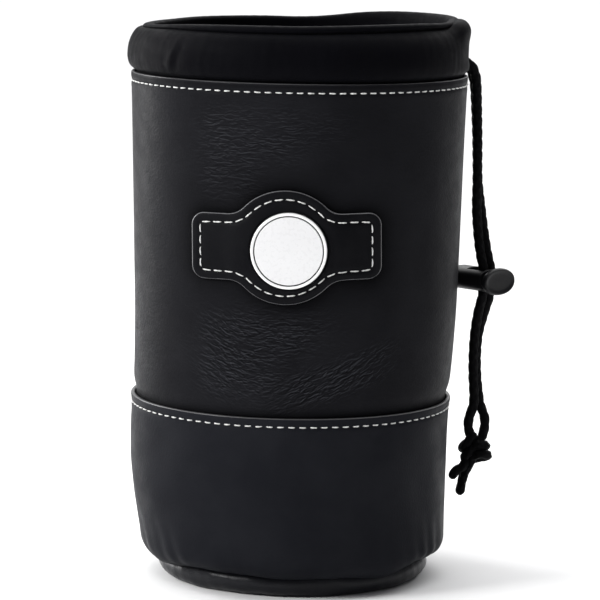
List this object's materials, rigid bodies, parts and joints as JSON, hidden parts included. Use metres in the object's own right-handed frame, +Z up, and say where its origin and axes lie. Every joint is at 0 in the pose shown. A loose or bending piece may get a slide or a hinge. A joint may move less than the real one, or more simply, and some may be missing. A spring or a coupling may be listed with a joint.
{
  "type": "drawstring pouch",
  "caption": "Round upright leather pouch with a folded drawstring collar, a cord lock, a boot band and a magnetic badge marker.",
  "frame": {"origin": "middle of the flat leather disc that the pouch stands on", "axes": "+Z up out of the mouth, -Y out of the badge on the front, +X towards the side where the drawcord hangs"},
  "size_m": [0.1261, 0.1117, 0.1803],
  "materials": {
    "leather_black": "semi-matte black synthetic leather with a fine crinkled grain",
    "welt_leather": "soft wrinkled black leather piping, satin",
    "nylon_black": "smooth close-woven black nylon, soft low sheen",
    "lining_cloth": "short brushed dark grey lining, matt",
    "foam_grey": "open foam, matt, hidden",
    "stiffener_board": "plain board, hidden",
    "cord_black": "black braided polyester cord, matt",
    "lock_plastic": "satin moulded black plastic",
    "spring_steel": "bright drawn wire",
    "magnet_metal": "plated disc magnet, hidden",
    "marker_rim": "white lacquer over metal, glossy",
    "marker_white": "smooth white enamel, soft gloss",
    "thread_white": "twisted off-white polyester thread, slight sheen"
  },
  "bodies": {
    "pouch": {"body_shell": "leather_black", "wall_padding": "foam_grey", "wall_lining": "lining_cloth", "boot_band": "leather_black", "base_disc": "leather_black", "base_welt": "welt_leather", "base_board": "stiffener_board", "base_padding": "foam_grey", "base_lining": "lining_cloth", "collar_cuff": "nylon_black", "drawcord_ring": "cord_black", "badge_patch": "leather_black", "badge_seat": "lock_plastic", "badge_magnet": "magnet_metal", "top_stitching": "thread_white", "boot_stitching": "thread_white", "badge_stitching": "thread_white", "back_seam_stitching": "thread_white"},
    "cord_tail": {"drawcord_tail_front": "cord_black", "drawcord_tail_rear": "cord_black", "cord_knot": "cord_black"},
    "cord_lock": {"lock_barrel": "lock_plastic", "lock_spring": "spring_steel"},
    "button": {"lock_button": "lock_plastic"},
    "marker": {"marker_coin": "marker_rim", "marker_enamel": "marker_white"}
  },
  "joints": [
    {"name": "cord_swing", "type": "hinge", "parent": "pouch", "child": "cord_tail", "pos_m": [0.0527, 0.0195, 0.1662], "axis": [0.3486, -0.9373, 0], "range_deg": [0, 60], "deforming": ["drawcord_tail_front", "drawcord_tail_rear"]},
    {"name": "lock_slide", "type": "slide", "parent": "cord_tail", "child": "cord_lock", "axis": [0, 0, 1], "range_m": [-0.03, 0.05], "deforming": ["drawcord_tail_front", "drawcord_tail_rear"]},
    {"name": "button_press", "type": "slide", "parent": "cord_lock", "child": "button", "axis": [-0.7071, 0.7071, 0], "range_m": [0, 0.0017], "stiffness_N_per_m": 300, "springref_m": -0.003, "deforming": ["lock_spring"]},
    {"name": "marker_lift", "type": "slide", "parent": "pouch", "child": "marker", "axis": [0, -1, 0], "range_m": [0, 0.03]}
  ]
}
